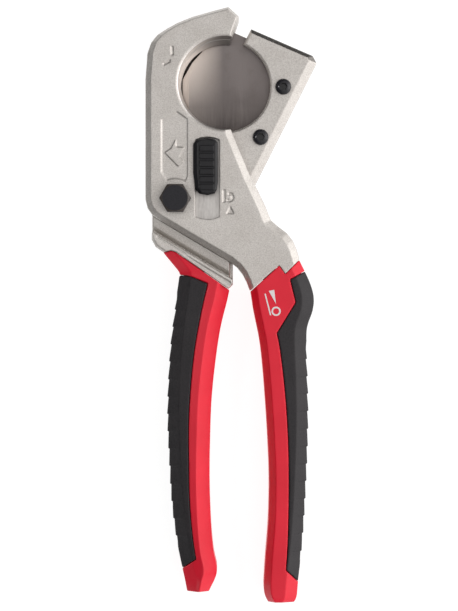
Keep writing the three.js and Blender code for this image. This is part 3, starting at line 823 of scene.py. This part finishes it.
def rubber_zone(grip, shift=0.0):
    """Space of the wrap. Its boundary moves by shift towards the outer side."""
    side = grip["side"]
    stretches = [smooth_line(stretch) for stretch in grip["rubber"]]
    edge = [stretches[0][0], *(point for stretch in stretches for point in stretch[1:])]
    (x0, y0), (x1, y1) = edge[0], edge[-1]
    loop = [(x0 + side * BEYOND, y0), *edge, (x1 + side * BEYOND, y1 - 1)]
    return prism(grown(loop if side > 0 else loop[::-1], -shift), -5, 30)


def ribs(grip, solid):
    """Lapped ribs on the wrap's outer side: each swells slowly and ends in a small step."""
    side = grip["side"]
    outer = smooth_line(grip["outer"], 1.2)
    first, last = grip["ribs"]
    for vertex in solid.data.vertices:
        x = (vertex.co.x - PIVOT.x) / MM
        y = (vertex.co.y - PIVOT.y) / MM
        if last < y < first:
            near = max(0.0, 1.0 - abs(x - across(outer, y)) / OUTER_FACET[0])
            fade = min(1.0, (first - y) / 3, (y - last) / 3)
            phase = (first - y) / RIB_PITCH % 1
            vertex.co.x -= side * RIB_DEPTH * near * fade * (1 - phase) * MM


def cushioned_grip(grip, name, body):
    """The red body, cut back to a core under the wrap, and the rubber wrap over it."""
    whole = combine(grip_solid(grip, name), [below_collar(grip)], "INTERSECT")
    core = combine(grip_solid(grip, "core", WRAP_T), [below_collar(grip)], "INTERSECT")
    wrap = link(name + "_wrap", whole.data.copy())
    combine(wrap, [rubber_zone(grip, GROOVE)], "INTERSECT")
    combine(wrap, [grip_solid(grip, "inside", WRAP_T - GAP)])
    combine(whole, [rubber_zone(grip)])
    combine(whole, [core], "UNION")
    soften(whole, 0.3, 3, 0.5)
    soften(wrap, 0.3, 10)
    ribs(grip, wrap)
    finish_piece(whole, name, body, RED)
    finish_piece(wrap, name + "_rubber", body, RUBBER)


def pictogram():
    """Plain printed sign on the right grip: a pipe's end and a blade over it."""
    low, high = GRIP_T - 0.05, GRIP_T + 0.06
    pipe = combine(prism(circle(36.6, -41.0, 1.7), low, high, "printed_sign"),
                   [prism(circle(36.6, -41.0, 1.1), low - 1, high + 1)])
    wedge = prism([(33.9, -33.6), (36.6, -38.4), (35.9, -33.2)], low, high)
    line = prism(stroke((32.6, -34.6), (34.6, -42.4), 0.5), low, high)
    combine(pipe, [wedge, line], "UNION")
    pipe.data.materials.append(PRINT)
    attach(pipe, "frame")


# --- floor, light and camera ---------------------------------------------------------------------------

FLOOR_Z = -0.0002  # just under the tool
FLOOR_HALF = 3.0


def stage():
    mesh = bpy.data.meshes.new("floor")
    corners = [(x * FLOOR_HALF, y * FLOOR_HALF, FLOOR_Z) for x, y in ((-1, -1), (1, -1), (1, 1), (-1, 1))]
    mesh.from_pydata(corners, [], [(0, 1, 2, 3)])
    mesh.materials.append(pale_floor())
    link("floor", mesh)


def area_light(name, position, size, power):
    """Soft light that looks at the origin."""
    data = bpy.data.lights.new(name, "AREA")
    data.shape = "RECTANGLE"
    data.size, data.size_y = size
    data.energy = power
    lamp = bpy.data.objects.new(name, data)
    lamp.location = position
    lamp.rotation_euler = (-Vector(position)).to_track_quat("-Z", "Y").to_euler()
    bpy.context.scene.collection.objects.link(lamp)


def lights():
    area_light("key_right", (0.85, 0.15, 0.55), (0.7, 1.0), 2.2)
    area_light("overhead", (0.12, 0.1, 1.3), (0.9, 0.9), 0.6)
    area_light("spot_left", (-0.55, 0.15, 0.85), (0.11, 0.15), 1.1)


SKY_TINT = (1.0, 0.985, 0.975)
# Brightness of the surround along each axis: (way, from -1 to 1, brightness). The two are multiplied.
SKY_X = ((-1.0, 0.1), (-0.45, 0.15), (-0.12, 0.75), (0.0, 0.97), (0.45, 1.15), (0.65, 1.75), (1.0, 2.2))
SKY_Y = ((-1.0, 0.6), (-0.4, 1.0), (0.0, 1.0), (0.4, 0.85), (0.7, 0.72), (0.86, 0.12), (1.0, 0.1))


def sky():
    """Soft surround, bright towards +X and dim towards -X, +Y and -Y."""
    world = bpy.data.worlds.new("studio")
    bpy.context.scene.world = world
    world.use_nodes = True
    tree = world.node_tree
    coords = tree.nodes.new("ShaderNodeTexCoord")
    split = tree.nodes.new("ShaderNodeSeparateXYZ")
    tree.links.new(coords.outputs["Generated"], split.inputs["Vector"])
    both = tree.nodes.new("ShaderNodeMix")
    both.data_type = "RGBA"
    both.blend_type = "MULTIPLY"
    both.inputs[0].default_value = 1.0
    for axis, stops, socket in (("X", SKY_X, both.inputs[6]), ("Y", SKY_Y, both.inputs[7])):
        spread = tree.nodes.new("ShaderNodeMapRange")
        spread.inputs["From Min"].default_value = -1.0
        ramp = tree.nodes.new("ShaderNodeValToRGB")
        for k, (towards, bright) in enumerate(stops):
            stop = ramp.color_ramp.elements[k] if k < 2 else ramp.color_ramp.elements.new(1.0)
            stop.position = (towards + 1) / 2
            stop.color = (*(bright * tint for tint in SKY_TINT), 1)
        tree.links.new(split.outputs[axis], spread.inputs["Value"])
        tree.links.new(spread.outputs["Result"], ramp.inputs["Fac"])
        tree.links.new(ramp.outputs["Color"], socket)
    tree.links.new(both.outputs[2], tree.nodes["Background"].inputs["Color"])
    tree.nodes["Background"].inputs["Strength"].default_value = 0.78


CAMERA_HEIGHT = 0.82
SENSOR = 24.0
VIEW_HEIGHT = 0.223  # what the picture's height covers at VIEW_Z
VIEW_Z = 0.016
VIEW_CENTRE = (-0.0008, -0.0003)


def camera():
    data = bpy.data.cameras.new("camera")
    data.sensor_fit = "VERTICAL"
    data.sensor_height = SENSOR
    data.lens = SENSOR * (CAMERA_HEIGHT - VIEW_Z) / VIEW_HEIGHT
    data.clip_start = 0.01
    eye = bpy.data.objects.new("camera", data)
    eye.location = (*VIEW_CENTRE, CAMERA_HEIGHT)
    bpy.context.scene.collection.objects.link(eye)
    bpy.context.scene.camera = eye


def colour_management():
    view = bpy.context.scene.view_settings
    view.view_transform = "Standard"
    view.look = "None"
    view.exposure = 0.0


camera()
stage()
lights()
sky()
colour_management()
jaw_frame()
lever()
blade()
fasteners()
lock()
pivot_fittings()
cushioned_grip(LEFT, "left_grip", "lever")
cushioned_grip(RIGHT, "right_grip", "frame")
pictogram()
